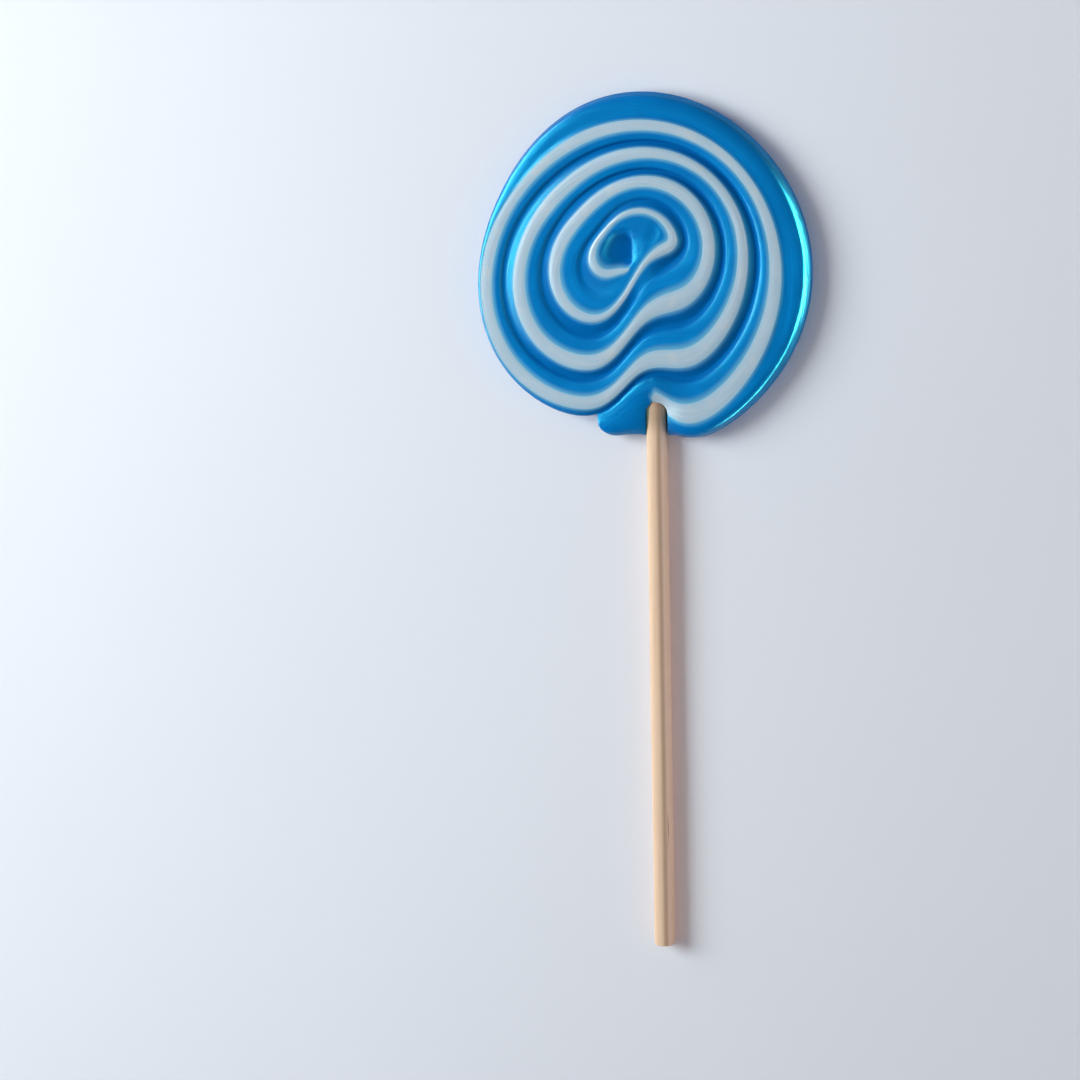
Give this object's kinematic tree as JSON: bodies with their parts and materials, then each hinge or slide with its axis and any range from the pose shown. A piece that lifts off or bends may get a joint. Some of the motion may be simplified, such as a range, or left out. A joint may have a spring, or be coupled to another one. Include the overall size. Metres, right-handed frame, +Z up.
{
  "type": "swirl lollipop",
  "caption": "Flat round boiled-sugar lollipop, a blue and white rope wound into a swirl and dented where the wooden stick goes in, lying on its back.",
  "frame": {"origin": "middle of the footprint, on the surface the lollipop lies on", "axes": "+Y along the stick towards the head, +Z up out of the shown face"},
  "size_m": [0.0992, 0.249, 0.0084],
  "materials": {
    "blue_sugar": "glossy blue boiled sugar",
    "white_sugar": "glossy white pulled sugar",
    "stick_wood": "plain pale wood, smooth"
  },
  "bodies": {
    "root": {"blue_candy": "blue_sugar", "white_candy": "white_sugar", "stick": "stick_wood"}
  },
  "joints": []
}
